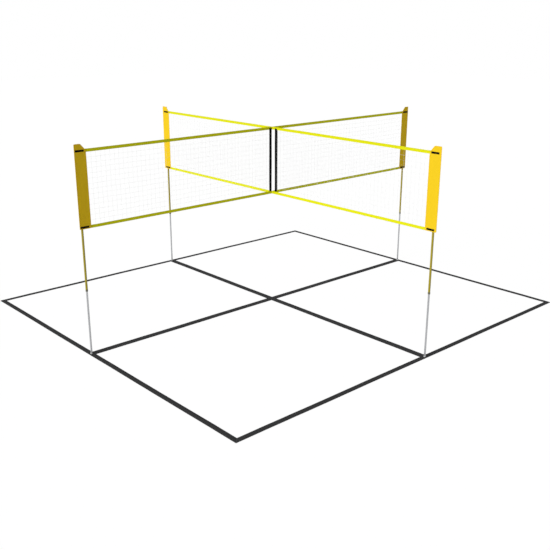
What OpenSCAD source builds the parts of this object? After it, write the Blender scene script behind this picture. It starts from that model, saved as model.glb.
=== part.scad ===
// Four-way volleyball net: two nets cross over a court laid out in webbing and hang on
// four telescopic poles. Millimetres, +Z up. The origin lies on the ground under the
// middle of the crossing court lines. A pole's own parts are drawn in the pole's frame:
// its axis at the origin, +X outward along the net, +Y behind the net.

/* [Court lines] */
// Middle of the crossing lines to the middle of the south line
south_run = 2880; // [1500:10:4500]
// Middle of the crossing lines to the middle of the east line
east_run = 2700; // [1500:10:4500]
// Middle of the crossing lines to the middle of the north line
north_run = 2790; // [1500:10:4500]
// Middle of the crossing lines to the middle of the west line
west_run = 2450; // [1500:10:4500]
// Width of the side lines' webbing
line_w = 68; // [45:1:80]
// Width of the crossing lines' webbing
cross_w = 94; // [60:1:110]
// Thickness of the webbing
line_t = 2.5; // [1.5:0.1:4]

/* [Poles] */
// Outside diameter of the upper tube
upper_od = 26; // [24:0.5:30]
// Wall of the upper tube
upper_wall = 1; // [0.8:0.1:1.5]
// Radial space between the lower tube and the upper tube's bore
tube_space = 1; // [0.8:0.1:1.4]
// Wall of the lower tube
lower_wall = 1.2; // [0.8:0.1:1.6]
// Height of the upper tube's lower end with the net at its highest setting
upper_from = 812; // [650:1:1000]
// Length of lower tube inside the upper tube at that setting
insert_l = 440; // [250:5:600]

/* [Feet] */
// Radius of the foot where it stands
foot_r = 14; // [13:0.5:18]
// Height of the foot
foot_h = 16; // [12:0.5:30]
// Rubber under the tube's end
foot_floor = 4.5; // [3:0.5:8]
// Rubber round the tube at the foot's mouth
foot_wall = 1.6; // [1.2:0.1:2]
// Width of each tread groove
tread_w = 1.5; // [1:0.1:2]
// Depth of each tread groove
tread_d = 1; // [0.5:0.1:2]

/* [Guide bush] */
// Length of the ring that slides in the upper tube
guide_h = 14; // [8:1:30]
// Length of the plug in the lower tube's end
guide_plug = 20; // [10:1:40]
// Wall of the plug
guide_wall = 1.8; // [1.2:0.1:3]

/* [Twist lock] */
// Length of the lock body's plug in the upper tube's end
lock_plug = 25; // [15:1:40]
// Thickness of the flange under the upper tube's end
lock_flange = 3; // [2:0.5:5]
// How far the flange stands out past the upper tube
lock_rim = 0.4; // [0.2:0.1:1]
// Length of the split collet under the flange
collet_h = 19; // [16:1:26]
// Length of the collet's tapered tip
collet_tip = 5; // [3:0.5:7]
// Radial taper of the collet's tip
collet_taper = 0.7; // [0.3:0.1:0.9]
// Radius of the collet past the lower tube
collet_wall = 1.4; // [1.2:0.1:1.8]
// Width of the collet's slits
slit_w = 1.2; // [0.8:0.1:2]
// Length of the collet's slits
slit_h = 13; // [8:1:15]
// Outside radius of the lock ring past its bore
ring_wall = 1.7; // [1.5:0.1:3]
// Thickness of the lip that closes the lock ring
ring_lip = 2.3; // [1.5:0.1:4]
// Number of grip flutes round the lock ring
flutes = 16; // [8:1:20]
// Radius of each flute
flute_r = 1.2; // [0.8:0.1:1.5]
// Depth of each flute
flute_d = 0.5; // [0.3:0.1:0.8]

/* [Top cap] */
// Thickness of the cap on the upper tube
cap_t = 3; // [2:0.5:6]
// Length of the cap's plug
cap_plug = 20; // [10:1:40]
// Wall of the cap's plug
cap_wall = 2; // [1.2:0.1:3]

/* [Net] */
// Height of the top tape's upper edge
net_top = 2430; // [2300:1:2450]
// Depth of the net from the top tape's upper edge to the bottom tape's lower edge
net_depth = 900; // [700:5:1000]
// How far the nets hang in front of the poles' axes
net_front = 20; // [18:0.5:26]
// Height of each tape
tape_h = 36; // [30:1:60]
// Thickness of each folded tape
tape_t = 2.4; // [2:0.1:3]
// Radius of the cord in the fold of each tape
fold_r = 3; // [2:0.1:4]
// Mesh columns in each quarter of the net
mesh_columns = 15; // [6:1:15]
// Mesh rows
mesh_rows = 5; // [3:1:5]
// Width of the mesh cord
mesh_w = 3; // [2:0.5:6]
// Thickness of the mesh cord
mesh_t = 2; // [1:0.1:2.4]
// Width of the bands by the crossing
band_w = 42; // [30:1:44]
// Thickness of the bands by the crossing
band_t = 2.4; // [1.5:0.1:3]
// Middle of the crossing to the middle of the south band and the west band
band_near = 26; // [24:1:40]
// Middle of the crossing to the middle of the east band and the north band
band_far = 80; // [60:1:110]

/* [Side panels] */
// Pole axis to the inner edge of the south panel and the north panel
panel_in = 107; // [98:1:140]
// Pole axis to the outer edge of the south panel and the north panel
panel_out = 38; // [38:1:80]
// Pole axis to the inner edge of the east panel and the west panel
wing_in = 103; // [98:1:140]
// Pole axis to the outer edge of the east panel and the west panel
wing_out = 56; // [38:1:80]
// Height of the panel above the top tape
panel_rise = 60; // [50:1:100]
// Width of the panel's sloping corner
slope_w = 66; // [50:1:80]
// Drop of the panel's sloping corner
slope_h = 75; // [40:1:85]
// Radius of the panel's corners
panel_round = 8; // [4:0.5:9]
// Thickness of the panel's cloth
sheet_t = 2; // [1:0.1:2.4]
// Width of the bound edge
hem_w = 10; // [9.5:0.5:14]
// Thickness of the binding on each face
hem_t = 0.6; // [0.4:0.1:1]
// Pole axis to each seam of the pole pocket
seam_out = 22; // [20:0.5:23]
// Cloth of the pole pocket
pocket_wall = 1.2; // [0.8:0.1:1.6]
// Space between the pole and its pocket
pocket_gap = 0.4; // [0.3:0.05:0.6]
// Cloth that closes the pocket over the pole's cap
roof_t = 3; // [1.5:0.5:4]
// Drop from the panel's top edge to the pocket's top
pocket_drop = 6; // [4:0.5:12]

/* [Panel straps] */
// Height of each strap's webbing
strap_h = 22; // [18:1:25]
// Thickness of the strap
strap_t = 1.8; // [1.2:0.1:2]
// Pole axis to the strap's inner end
strap_in = 81; // [76:1:84]
// Pole axis to the strap's outer end
strap_out = 27; // [26:0.5:27.5]
// Space between the hem and the bottom strap
strap_rise = 1.5; // [1:0.5:10]

/* [Hidden] */
$fn = 72;
ENDS = ["south", "east", "north", "west"];
POLE_PARTS = [
    "foot", "lower_tube", "guide_bush", "upper_tube", "lock_body", "lock_ring", "top_cap",
    "side_panel", "panel_straps", "net_mesh", "centre_band"
];

WEBBING = [0.16, 0.16, 0.17];
RUBBER = [0.76, 0.77, 0.77];
SILVER = [0.75, 0.76, 0.78];
GOLD = [0.95, 0.76, 0.08];
LEMON = [0.9, 0.9, 0.2];
PLASTIC = [0.35, 0.35, 0.32];
BLACK = [0.05, 0.05, 0.05];
CORD = [0.95, 0.95, 0.95];

// Radial clearance of a plug in its tube
fit_gap = 0.05;
// Radial clearance of a sliding or turning fit
run_gap = 0.05;
// Clearance between the lock ring and the collet
ring_gap = 0.1;
// Space between the lock ring and what it turns next to
turn_gap = 0.3;
// Space between cloth and the webbing that passes it
cloth_gap = 0.3;
// Chamfer on plugs, rings and caps
chamfer = 0.6;
// Overlap of a cutting shape past the face it cuts
cut = 1;

upper_r = upper_od / 2;
upper_bore = upper_r - upper_wall;
lower_r = upper_bore - tube_space;
lower_bore = lower_r - lower_wall;
slide_r = upper_bore - run_gap;
plug_r = upper_bore - fit_gap;
tube_seat = line_t + foot_floor;
lower_top = upper_from + insert_l;

net_bottom = net_top - net_depth;
top_tape_z = net_top - tape_h / 2;
bottom_tape_z = net_bottom + tape_h / 2;
mesh_bottom = net_bottom + tape_h;
mesh_top = net_top - tape_h;
panel_top = net_top + panel_rise;
pocket_top = panel_top - pocket_drop;
upper_top = pocket_top - roof_t - cap_t;

sheet_front = -net_front - sheet_t / 2;
sheet_back = -net_front + sheet_t / 2;
pocket_r = upper_r + pocket_gap;
strap_r = pocket_r + pocket_wall + cloth_gap;
top_strap_z = top_tape_z - strap_h / 2;
bottom_strap_z = net_bottom + hem_w + strap_rise;

collet_r = lower_r + collet_wall;
ring_bore = collet_r + ring_gap;
ring_r = ring_bore + ring_wall;

function run(end) =
    end == "south" ? south_run : end == "east" ? east_run : end == "north" ? north_run : west_run;

// Whether an end is on the net that runs through
function on_through(end) = end == "south" || end == "north";
function inner_edge(end) = on_through(end) ? -panel_in : -wing_in;
function outer_edge(end) = on_through(end) ? panel_out : wing_out;

// The crossing's place along a net, in the frame of the pole at one end
function crossing_x(end) = (end == "south" || end == "east" ? net_front : -net_front) - run(end);

function unit(v) = v / norm(v);
function left(v) = [-v.y, v.x];
function around(points, i) = points[(i + len(points)) % len(points)];
function edge_normal(points, i) = left(unit(around(points, i + 1) - around(points, i)));

// Where a corner goes when both of its edges move inward by d
function moved_corner(points, i, d) =
    let (n1 = edge_normal(points, i - 1), n2 = edge_normal(points, i))
    around(points, i) + d * (n1 + n2) / (1 + n1 * n2);
function inset(points, d) = [for (i = [0:len(points) - 1]) moved_corner(points, i, d)];

// A convex outline with each corner turned into an arc of radius r
function rounded(points, r, steps = 6) = [
    for (i = [0:len(points) - 1])
        let (
            n1 = -edge_normal(points, i - 1),
            n2 = -edge_normal(points, i),
            start = atan2(n1.y, n1.x),
            turn = acos(n1 * n2),
            centre = moved_corner(points, i, r)
        )
        for (k = [0:steps])
            centre + r * [cos(start + turn * k / steps), sin(start + turn * k / steps)]
];

// The angle at which a line from p touches a circle of radius r round the pole, behind it
function touch(p, r) =
    atan2(p.y, p.x) + (p.x > 0 ? acos(r / norm(p)) : 360 - acos(r / norm(p)));

// What cloth drawn round the pole from a flat sheet looks like from above: straight on
// the sheet from x0 to x1 at y, then tangent to a circle of radius r round the pole
function wrap(r, x0, x1, y, steps = 24) =
    let (a0 = touch([x0, y], r), a1 = touch([x1, y], r))
    concat(
        [[x0, y], [x1, y]],
        [for (k = [0:steps]) let (a = a1 + (a0 - a1) * k / steps) r * [cos(a), sin(a)]]
    );

module at_pole(end) {
    if (end == "east") translate([east_run, 0, 0]) children();
    if (end == "west") translate([-west_run, 0, 0]) mirror([1, 0, 0]) children();
    if (end == "north") translate([0, north_run, 0]) rotate([0, 0, 90]) children();
    if (end == "south") translate([0, -south_run, 0]) mirror([0, 1, 0]) rotate([0, 0, 90]) children();
}

module tube(r, bore, from, to) {
    translate([0, 0, from])
        difference() {
            cylinder(h = to - from, r = r);
            translate([0, 0, -cut]) cylinder(h = to - from + 2 * cut, r = bore);
        }
}

// A flat outline in X and Z, given thickness from y0 to y1
module plate(points, y0, y1) {
    translate([0, y1, 0])
        rotate([90, 0, 0])
            linear_extrude(y1 - y0) polygon(points);
}

// ---------------------------------------------------------------- court lines

// One side of the court, mitred at both corners
module court_line(end) {
    i = search([end], ENDS)[0];
    half = line_w / 2;
    corners = [
        [-west_run, -south_run], [east_run, -south_run],
        [east_run, north_run], [-west_run, north_run]
    ];
    outer = inset(corners, -half);
    inner = inset(corners, half);
    color(WEBBING)
        linear_extrude(line_t)
            polygon([around(outer, i), around(outer, i + 1), around(inner, i + 1), around(inner, i)]);
}

// A strip of the crossing lines between two opposite corners of its outline
module cross_line(low, high) {
    color(WEBBING)
        translate([low.x, low.y, 0])
            cube([high.x - low.x, high.y - low.y, line_t]);
}

// ---------------------------------------------------------------- poles

module foot() {
    cup = lower_r + fit_gap;
    color(RUBBER)
        translate([0, 0, line_t])
            difference() {
                rotate_extrude()
                    polygon([
                        [0, 0], [foot_r - chamfer, 0], [foot_r, chamfer], [foot_r, foot_floor],
                        [cup + foot_wall, foot_h - chamfer], [cup + foot_wall - chamfer, foot_h],
                        [cup, foot_h], [cup, foot_floor], [0, foot_floor]
                    ]);
                for (share = [1 / 3, 2 / 3])
                    rotate_extrude()
                        translate([foot_r * share - tread_w / 2, -cut]) square([tread_w, tread_d + cut]);
            }
}

module lower_tube() {
    color(SILVER) tube(lower_r, lower_bore, tube_seat, lower_top);
}

// Ring on the lower tube's upper end that slides in the upper tube
module guide_bush() {
    plug = lower_bore - fit_gap;
    color(BLACK)
        translate([0, 0, lower_top])
            rotate_extrude()
                polygon([
                    [plug - guide_wall, -guide_plug], [plug - chamfer, -guide_plug],
                    [plug, chamfer - guide_plug], [plug, 0], [slide_r - chamfer, 0],
                    [slide_r, chamfer], [slide_r, guide_h - chamfer],
                    [slide_r - chamfer, guide_h], [plug - guide_wall, guide_h]
                ]);
}

module upper_tube() {
    color(GOLD) tube(upper_r, upper_bore, upper_from, upper_top);
}

// Plug, flange and split collet at the upper tube's lower end
module lock_body() {
    bore = lower_r + run_gap;
    flange_r = upper_r + lock_rim;
    tip = -lock_flange - collet_h;
    color(PLASTIC)
        translate([0, 0, upper_from])
            difference() {
                rotate_extrude()
                    polygon([
                        [bore, tip], [collet_r - collet_taper, tip], [collet_r, tip + collet_tip],
                        [collet_r, -lock_flange], [flange_r, -lock_flange], [flange_r, 0],
                        [plug_r, 0], [plug_r, lock_plug - chamfer / 2],
                        [plug_r - chamfer / 2, lock_plug], [bore, lock_plug]
                    ]);
                for (turn = [0, 90])
                    rotate([0, 0, turn])
                        translate([-collet_r - cut, -slit_w / 2, tip - cut])
                            cube([2 * (collet_r + cut), slit_w, slit_h + cut]);
            }
}

// Fluted ring that squeezes the collet on the lower tube when it is turned
module lock_ring() {
    top = -lock_flange - turn_gap;
    tip = -lock_flange - collet_h - ring_gap;
    bottom = tip - ring_lip;
    color(PLASTIC)
        translate([0, 0, upper_from])
            difference() {
                rotate_extrude()
                    polygon([
                        [lower_r + turn_gap, bottom], [ring_r - chamfer, bottom],
                        [ring_r, bottom + chamfer], [ring_r, top - chamfer], [ring_r - chamfer, top],
                        [ring_bore, top], [ring_bore, tip + collet_tip],
                        [ring_bore - collet_taper, tip], [lower_r + turn_gap, tip]
                    ]);
                for (i = [1:flutes])
                    rotate([0, 0, 360 * i / flutes])
                        translate([ring_r + flute_r - flute_d, 0, bottom - cut])
                            cylinder(h = top - bottom + 2 * cut, r = flute_r);
            }
}

module top_cap() {
    color(BLACK)
        translate([0, 0, upper_top])
            rotate_extrude()
                polygon([
                    [0, 0], [plug_r - cap_wall, 0], [plug_r - cap_wall, -cap_plug],
                    [plug_r - chamfer, -cap_plug], [plug_r, chamfer - cap_plug], [plug_r, 0],
                    [upper_r, 0], [upper_r, cap_t - chamfer], [upper_r - chamfer, cap_t], [0, cap_t]
                ]);
}

// ---------------------------------------------------------------- side panels

function panel_corners(end) =
    let (inner = inner_edge(end), outer = outer_edge(end))
    [
        [inner, net_bottom], [outer, net_bottom], [outer, panel_top],
        [inner + slope_w, panel_top], [inner, panel_top - slope_h]
    ];

// Webbing round the pocket, with room for the webbing if grow is more than 0
module strap_loop(grow = 0) {
    difference() {
        polygon(wrap(strap_r + strap_t + grow, -strap_in - grow, strap_out + grow, sheet_front - strap_t));
        polygon(wrap(strap_r - grow, strap_t + grow - strap_in, strap_out - strap_t - grow, sheet_front));
    }
}

module side_panel(end) {
    rim = rounded(panel_corners(end), panel_round);
    field = rounded(inset(panel_corners(end), hem_w), chamfer);
    color(GOLD) {
        difference() {
            plate(rim, sheet_front - hem_t, sheet_back + hem_t);
            plate(field, sheet_front - hem_t - cut, sheet_front);
            plate(field, sheet_back, sheet_back + hem_t + cut);
            for (z = [top_strap_z, bottom_strap_z])
                translate([0, 0, z - cloth_gap])
                    linear_extrude(strap_h + 2 * cloth_gap) strap_loop(cloth_gap);
        }
        difference() {
            translate([0, 0, net_bottom])
                linear_extrude(pocket_top - net_bottom)
                    polygon(wrap(pocket_r + pocket_wall, -seam_out, seam_out, sheet_back));
            translate([0, 0, net_bottom - cut])
                linear_extrude(pocket_top - roof_t - net_bottom + cut)
                    polygon(wrap(pocket_r, pocket_wall - seam_out, seam_out - pocket_wall, sheet_back));
        }
    }
}

module panel_straps() {
    color(BLACK)
        for (z = [top_strap_z, bottom_strap_z])
            translate([0, 0, z]) linear_extrude(strap_h) strap_loop();
}

// ---------------------------------------------------------------- net

// Section of a tape, folded over its cord on the side that side_sign gives
module tape_section(side_sign, grow = 0) {
    square([tape_t + 2 * grow, tape_h + 2 * grow], center = true);
    translate([0, side_sign * (tape_h / 2 - fold_r)]) circle(fold_r + grow);
}

module tape_run(x0, x1, z, side_sign) {
    color(LEMON)
        translate([x0, -net_front, z])
            rotate([90, 0, 90])
                linear_extrude(x1 - x0) tape_section(side_sign);
}

// The tape that runs through from the south panel to the north panel
module through_tape(z, side_sign) {
    tape_run(panel_in - north_run - south_run, -panel_in, z, side_sign);
}

// A tape that is sewn to the side of the through tape
module wing_tape(end, z, side_sign) {
    difference() {
        tape_run(crossing_x(end), inner_edge(end), z, side_sign);
        translate([crossing_x(end), -net_front + tape_h, z])
            rotate([90, 0, 0])
                linear_extrude(2 * tape_h) tape_section(side_sign, cloth_gap);
    }
}

// The inner edge of the band at one end's side of the crossing, in the frame of its pole
function band_x(end) =
    crossing_x(end) + (end == "south" || end == "west" ? band_near : band_far) - band_w / 2;

module net_mesh(end) {
    x0 = band_x(end) + band_w;
    mesh_l = inner_edge(end) - x0;
    pitch_x = (mesh_l - mesh_w) / mesh_columns;
    pitch_z = (mesh_top - mesh_bottom - mesh_w) / mesh_rows;
    color(CORD)
        translate([x0, -net_front + mesh_t / 2, mesh_bottom])
            rotate([90, 0, 0])
                linear_extrude(mesh_t)
                    difference() {
                        square([mesh_l, mesh_top - mesh_bottom]);
                        for (i = [0:mesh_columns - 1], k = [0:mesh_rows - 1])
                            translate([i * pitch_x + mesh_w, k * pitch_z + mesh_w])
                                square([pitch_x - mesh_w, pitch_z - mesh_w]);
                    }
}

module centre_band(end) {
    color(BLACK)
        translate([band_x(end), -net_front - band_t / 2, mesh_bottom])
            cube([band_w, band_t, mesh_top - mesh_bottom]);
}

// ---------------------------------------------------------------- nodes

half_line = line_w / 2;
half_cross = cross_w / 2;
for (end = ENDS) court_line(end);
cross_line([-half_cross, half_line - south_run], [half_cross, north_run - half_line]);  // cross_line_through
cross_line([half_cross, -half_cross], [east_run - half_line, half_cross]);  // cross_line_east
cross_line([half_line - west_run, -half_cross], [-half_cross, half_cross]);  // cross_line_west

at_pole("north") through_tape(top_tape_z, 1);  // top_tape_through
at_pole("east") wing_tape("east", top_tape_z, 1);  // top_tape_east
at_pole("west") wing_tape("west", top_tape_z, 1);  // top_tape_west
at_pole("north") through_tape(bottom_tape_z, -1);  // bottom_tape_through
at_pole("east") wing_tape("east", bottom_tape_z, -1);  // bottom_tape_east
at_pole("west") wing_tape("west", bottom_tape_z, -1);  // bottom_tape_west

for (end = ENDS) at_pole(end) {
    foot();
    lower_tube();
    guide_bush();
    upper_tube();
    lock_body();
    lock_ring();
    top_cap();
    side_panel(end);
    panel_straps();
    net_mesh(end);
    centre_band(end);
}
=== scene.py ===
"""Dresses a four-way volleyball net: webbing, cloth, cords and finishes, with its light and camera.

Lengths are in metres. A pole's own pieces are modelled in the pole's frame, with its axis at the
origin, +X outward along the net and +Y behind the net, and are then set down at each end.
"""
import logging
from contextlib import contextmanager
from dataclasses import dataclass
from enum import Enum
from math import acos, atan2, cos, hypot, pi, radians, sin
from typing import Any, Callable, Iterator, Sequence

import bmesh
import bpy
from mathutils import Matrix, Vector


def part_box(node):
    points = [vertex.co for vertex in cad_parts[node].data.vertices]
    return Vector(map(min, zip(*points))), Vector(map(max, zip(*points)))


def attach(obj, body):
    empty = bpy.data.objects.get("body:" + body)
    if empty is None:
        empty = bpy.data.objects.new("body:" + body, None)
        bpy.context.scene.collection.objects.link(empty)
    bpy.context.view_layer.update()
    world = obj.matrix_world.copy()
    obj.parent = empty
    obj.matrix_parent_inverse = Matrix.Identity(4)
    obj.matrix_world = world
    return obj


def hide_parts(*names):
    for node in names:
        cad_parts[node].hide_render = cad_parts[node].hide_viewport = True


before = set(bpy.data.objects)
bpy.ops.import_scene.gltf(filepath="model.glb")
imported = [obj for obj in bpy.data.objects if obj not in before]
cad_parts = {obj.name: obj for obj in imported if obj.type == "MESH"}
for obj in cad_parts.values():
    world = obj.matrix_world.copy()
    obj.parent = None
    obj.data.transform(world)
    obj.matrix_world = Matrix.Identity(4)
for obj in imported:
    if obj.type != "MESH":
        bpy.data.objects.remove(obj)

Item = bpy.types.Object
Spot = Sequence[float]
Colour = tuple[float, float, float]
Test = Callable[[Any], bool]
Operator = Callable[..., Any]

X, Y, Z = (1, 0, 0), (0, 1, 0), (0, 0, 1)
NEAR = 1e-6
log = logging.getLogger("volleyball_net")


def clamp(value: float) -> float:
    """A value held between 0 and 1."""
    return max(0.0, min(1.0, value))


def new_object(name: str, data: Any) -> Item:
    """A new object in the scene for a mesh, a lamp or a camera."""
    made = bpy.data.objects.new(name, data)
    bpy.context.scene.collection.objects.link(made)
    return made


class End(Enum):
    """An end of a net: its name, the way out along the net, and the way behind the net."""

    SOUTH = ("south", (0, -1), (-1, 0))
    EAST = ("east", (1, 0), (0, 1))
    NORTH = ("north", (0, 1), (-1, 0))
    WEST = ("west", (-1, 0), (0, 1))

    def node(self, part: str) -> str:
        """The name of a part at this end."""
        return f"{part}_{self.value[0]}"

    def place(self) -> Matrix:
        """The matrix from the pole's frame to the court's."""
        _, out, behind = self.value
        low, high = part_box(self.node("lower_tube"))
        foot = (low + high) / 2
        return Matrix((
            (out[0], behind[0], 0, foot.x), (out[1], behind[1], 0, foot.y), (0, 0, 1, 0), (0, 0, 0, 1),
        ))

    def box(self, node: str) -> tuple[Vector, Vector]:
        """The lowest and highest corner of a node, in the pole's frame.

        Args:
            node: the node's name.

        Returns:
            The two corners.
        """
        back = self.place().inverted()
        ends = [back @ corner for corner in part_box(node)]
        return Vector(map(min, *ends)), Vector(map(max, *ends))


class Level(Enum):
    """Which edge of the net a tape is on, as the way up from the cloth to the cord in its fold."""

    TOP = 1
    BOTTOM = -1


class Along(Enum):
    """The way that a strip of webbing runs; X and Y are also the numbers of those axes."""

    X = 0
    Y = 1
    NET = 2
    UP = 3


def runs(axis: Spot, least: float = 0.0) -> Test:
    """A test for edges that run along an axis and are longer than least.

    Args:
        axis: the axis, as a vector.
        least: the length that an edge has to pass.

    Returns:
        The test.
    """
    def test(edge: Any) -> bool:
        """Whether an edge runs that way."""
        way = edge.verts[1].co - edge.verts[0].co
        return way.length > max(least, 1e-7) and abs(way.normalized() @ Vector(axis)) > 0.999

    return test


def push(value: Spot) -> None:
    """Extrudes what is picked by a vector."""
    bpy.ops.mesh.extrude_region_move(TRANSFORM_OT_translate={"value": tuple(value)})


def resize(value: Spot, centre: Spot) -> None:
    """Scales what is picked about a point."""
    bpy.ops.transform.resize(value=tuple(value), center_override=tuple(centre))


@dataclass
class Piece:
    """A piece on the bench, shaped by Blender's operators, with faces and edges picked by place."""

    item: Item

    @classmethod
    def start(cls, primitive: Operator, name: str, scale: Spot = (1, 1, 1), **settings: Any) -> "Piece":
        """A primitive, with its place, turn and size put into its mesh.

        Args:
            primitive: the operator that adds it.
            name: the piece's name.
            scale: its size along its own axes.
            settings: the operator's settings.

        Returns:
            The piece.
        """
        bpy.ops.object.select_all(action="DESELECT")
        primitive(**settings)
        item = bpy.context.active_object
        item.name = item.data.name = name
        item.scale = scale
        bpy.ops.object.transform_apply(location=True, rotation=True, scale=True)
        return cls(item)

    @classmethod
    def block(cls, name: str, low: Spot, high: Spot) -> "Piece":
        """A block between two corners."""
        low, high = Vector(low), Vector(high)
        cube, middle = bpy.ops.mesh.primitive_cube_add, (low + high) / 2
        return cls.start(cube, name, high - low, size=1, location=middle)

    @classmethod
    def rod(cls, name: str, start: Spot, end: Spot, radius: float) -> "Piece":
        """A thread or cord between two points.

        Args:
            name: the piece's name.
            start: the middle of one end.
            end: the middle of the other end.
            radius: its radius.

        Returns:
            The rod, with six sides.
        """
        start, end = Vector(start), Vector(end)
        way = end - start
        return cls.start(
            bpy.ops.mesh.primitive_cylinder_add, name, vertices=6, radius=radius, depth=way.length,
            location=(start + end) / 2, rotation=way.to_track_quat("Z", "Y").to_euler(),
        )

    @classmethod
    def join(cls, name: str, *pieces: "Piece") -> "Piece":
        """Joins several pieces into the first, under this name.

        Args:
            name: the name of the whole.
            pieces: what is joined.

        Returns:
            The whole.
        """
        joined = pieces[0]
        joined.take(*pieces[1:])
        bpy.ops.object.join()
        joined.item.name = joined.item.data.name = name
        return joined

    def take(self, *others: "Piece") -> None:
        """Selects this piece and the others alone, with this one active.

        Args:
            others: what is selected with it.
        """
        bpy.ops.object.select_all(action="DESELECT")
        for piece in (self, *others):
            piece.item.select_set(True)
        bpy.context.view_layer.objects.active = self.item

    @contextmanager
    def edit(self) -> Iterator[None]:
        """Edit mode on this piece, with all of its faces selected."""
        self.take()
        bpy.ops.object.mode_set(mode="EDIT")
        bpy.ops.mesh.select_mode(type="FACE")
        bpy.ops.mesh.select_all(action="SELECT")
        yield
        bpy.ops.object.mode_set(mode="OBJECT")

    def pick(self, kind: str, test: Test = lambda part: True) -> None:
        """Selects the parts of the mesh in edit mode that pass a test, and no others.

        Args:
            kind: VERT, EDGE or FACE.
            test: what a vertex, edge or face has to pass.
        """
        bpy.ops.mesh.select_mode(type=kind)
        bpy.ops.mesh.select_all(action="DESELECT")
        shape = bmesh.from_edit_mesh(self.item.data)
        for part in {"VERT": shape.verts, "EDGE": shape.edges, "FACE": shape.faces}[kind]:
            if test(part):
                part.select_set(True)
        shape.select_flush_mode()
        bmesh.update_edit_mesh(self.item.data)

    def trim(self, point: Spot, outward: Spot, close: bool = True) -> None:
        """Cuts off what lies outside a plane.

        Args:
            point: a point on the plane.
            outward: the plane's normal, to the side that goes.
            close: whether the cut gets a face.
        """
        with self.edit():
            bpy.ops.mesh.bisect(
                plane_co=tuple(point), plane_no=tuple(outward), use_fill=close, clear_outer=True,
                threshold=NEAR,
            )

    def divide(self, axis: Spot, cuts: int, least: float = 0.0) -> "Piece":
        """Cuts the edges along an axis that are longer than least into equal lengths.

        Args:
            axis: the axis, as a vector.
            cuts: the number of cuts.
            least: the length that an edge has to pass.

        Returns:
            This piece.
        """
        with self.edit():
            self.pick("EDGE", runs(axis, least))
            bpy.ops.mesh.subdivide(number_cuts=cuts)
        return self

    def face_outward(self) -> "Piece":
        """Merges doubles and points the faces outward."""
        with self.edit():
            bpy.ops.mesh.remove_doubles(threshold=NEAR)
            bpy.ops.mesh.normals_make_consistent(inside=False)
        return self

    def modify(self, kind: str, **settings: Any) -> "Piece":
        """Adds one modifier with its settings and applies it.

        Args:
            kind: the modifier's type.
            settings: its settings by name.

        Returns:
            This piece.
        """
        self.take()
        step = self.item.modifiers.new(kind, kind)
        for key, value in settings.items():
            setattr(step, key, value)
        bpy.ops.object.modifier_apply(modifier=step.name)
        return self

    def round_off(self, radius: float, steps: int = 2) -> "Piece":
        """Rounds the sharp edges."""
        return self.modify("BEVEL", width=radius, segments=steps, limit_method="ANGLE", angle_limit=0.6)

    def repeat(self, count: int, step: Spot) -> "Piece":
        """Repeats the piece in a row.

        Args:
            count: how often it stands in the row.
            step: the vector from one to the next.

        Returns:
            This piece.
        """
        return self.modify(
            "ARRAY", count=count, use_relative_offset=False,
            use_constant_offset=True, constant_offset_displace=tuple(step),
        )

    def smooth(self, angle: float = 0.7) -> "Piece":
        """Smooth shading with the edges past an angle kept sharp."""
        self.take()
        bpy.ops.object.shade_smooth_by_angle(angle=angle)
        return self

    def shape(self, move: Callable[[Vector], Vector]) -> "Piece":
        """Moves every vertex by what a function of its place says.

        Args:
            move: the function.

        Returns:
            This piece.
        """
        for vertex in self.item.data.vertices:
            vertex.co += move(vertex.co)
        self.item.data.update()
        return self

    def set_down(self, place: Matrix) -> "Piece":
        """Moves the mesh by a matrix, and keeps its faces outward when the matrix mirrors.

        Args:
            place: the matrix.

        Returns:
            This piece.
        """
        self.item.data.transform(place)
        if place.determinant() < 0:
            self.item.data.flip_normals()
        return self

    def copy(self, name: str) -> "Piece":
        """A copy with its own mesh."""
        twin = new_object(name, self.item.data.copy())
        twin.data.name = name
        return Piece(twin)

    def discard(self) -> None:
        """Removes a piece that was only a pattern or a cutter."""
        bpy.data.objects.remove(self.item)

    def hand_over(self, body: str, finish: "Finish", slot: str, node: str | None = None) -> Item:
        """Dresses the piece, hangs it on its body's empty and hides the node that it replaces.

        Args:
            body: the body that it rides on.
            finish: its finish.
            slot: not used.
            node: the node that it replaces, if it does.

        Returns:
            The Blender object.
        """
        finish.dress(self.item)
        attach(self.item, body)
        if node:
            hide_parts(node)
        return self.item


def operation(kind: str, swapped: bool = False) -> Callable[..., "Signal"]:
    """A method of a signal that adds one Math node, with its terms swapped for a reflected operator.

    Args:
        kind: the node's operation.
        swapped: whether the signal is the second term.

    Returns:
        The method.
    """
    def method(self: "Signal", *others: Any) -> "Signal":
        """The node's result."""
        return self.shader.maths(kind, *((*others, self) if swapped else (self, *others)))

    return method


@dataclass
class Signal:
    """A shader socket in arithmetic: each operator adds a Math node."""

    shader: "Shader"
    socket: bpy.types.NodeSocket

    __add__ = __radd__ = operation("ADD")
    __mul__ = __rmul__ = operation("MULTIPLY")
    __sub__, __rsub__ = operation("SUBTRACT"), operation("SUBTRACT", swapped=True)
    __pow__, __abs__ = operation("POWER"), operation("ABSOLUTE")
    sine, larger = operation("SINE"), operation("MAXIMUM")

    def output(self, key: str | int) -> "Signal":
        """Another output of the same node."""
        return Signal(self.shader, self.socket.node.outputs[key])

    def ripple(self, pitch: float) -> "Signal":
        """A wave from 0 to 1 that repeats every pitch."""
        return (self * (2 * pi / pitch)).sine() * 0.5 + 0.5

    def step(self, low: float, high: float) -> "Signal":
        """0 below low, 1 above high, and smooth between them."""
        values = {"Value": self, "From Min": low, "From Max": high}
        return self.shader.node("MapRange", values, interpolation_type="SMOOTHSTEP")


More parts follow.
